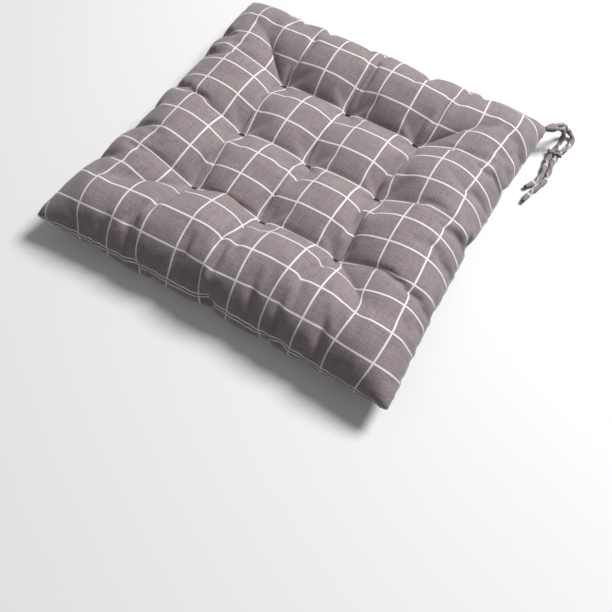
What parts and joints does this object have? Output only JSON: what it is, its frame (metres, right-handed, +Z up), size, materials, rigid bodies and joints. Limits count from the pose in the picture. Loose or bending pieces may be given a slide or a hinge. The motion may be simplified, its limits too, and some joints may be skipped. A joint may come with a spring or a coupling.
{
  "type": "chair seat pad",
  "caption": "Square knife-edge seat pad for a chair, with thread tufts, a crowned filled body and a knotted pair of cloth ties at a rear corner.",
  "frame": {"origin": "centre of the pad on the surface it lies on", "axes": "+X to the right seen from the front edge; +Y to the rear edge, where the ties are; +Z up"},
  "size_m": [0.4326, 0.4352, 0.068],
  "materials": {
    "plaid_cloth": "matt plain-woven cotton-linen, window-pane check",
    "polyester_fibre": "lofted fibre batt",
    "sewing_thread": "twisted polyester thread"
  },
  "bodies": {
    "pad": {"cover_top_panel": "plaid_cloth", "cover_bottom_panel": "plaid_cloth", "fiberfill_core": "polyester_fibre", "seam_thread_front": "sewing_thread", "seam_thread_right": "sewing_thread", "seam_thread_rear": "sewing_thread", "seam_thread_left": "sewing_thread", "tuft_stitch_front_left": "sewing_thread", "tuft_stitch_front_centre": "sewing_thread", "tuft_stitch_front_right": "sewing_thread", "tuft_stitch_middle_left": "sewing_thread", "tuft_stitch_middle_centre": "sewing_thread", "tuft_stitch_middle_right": "sewing_thread", "tuft_stitch_rear_left": "sewing_thread", "tuft_stitch_rear_centre": "sewing_thread", "tuft_stitch_rear_right": "sewing_thread", "rear_left_bar_tack": "sewing_thread", "tie_root_tab": "plaid_cloth"},
    "tie": {"tie_string_inner": "plaid_cloth", "tie_string_outer": "plaid_cloth", "tie_knot": "plaid_cloth"}
  },
  "joints": [
    {"name": "tie_swing", "type": "hinge", "parent": "pad", "child": "tie", "pos_m": [0.204, 0.204, 0.028], "axis": [0, 0, 1], "range_deg": [0, 90]}
  ]
}
